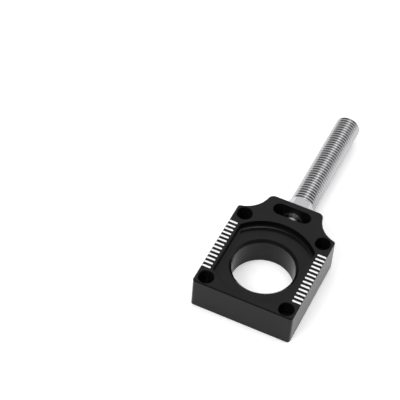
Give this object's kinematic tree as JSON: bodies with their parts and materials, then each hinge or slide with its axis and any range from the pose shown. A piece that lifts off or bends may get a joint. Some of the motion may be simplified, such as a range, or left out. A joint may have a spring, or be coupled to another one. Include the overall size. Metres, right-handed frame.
{
  "type": "motorcycle chain adjuster",
  "caption": "Flat black axle block with a round axle bore, a two-flat head seat, white scale marks on its rails and a captive hex-collared bolt that turns to set drive chain tension.",
  "frame": {"origin": "on the axle bore's axis, in the flat face that the block lies on", "axes": "+X along the front edge, +Y along the adjuster bolt towards its free end, +Z along the bore out of the scale face"},
  "size_m": [0.0318, 0.0846, 0.0113],
  "materials": {
    "block_anodise": "black anodised, fine satin",
    "mark_paint": "white paint in milled marks",
    "bolt_steel": "bright zinc-plated steel",
    "clip_steel": "bright spring steel"
  },
  "bodies": {
    "block": {"axle_block": "block_anodise", "scale_marks": "mark_paint"},
    "bolt": {"adjuster_bolt": "bolt_steel", "retaining_clip": "clip_steel"}
  },
  "joints": [
    {"name": "adjuster_turn", "type": "hinge", "parent": "block", "child": "bolt", "pos_m": [0, 0.02513, 0.00562], "axis": [0, 1, 0], "continuous": true}
  ]
}
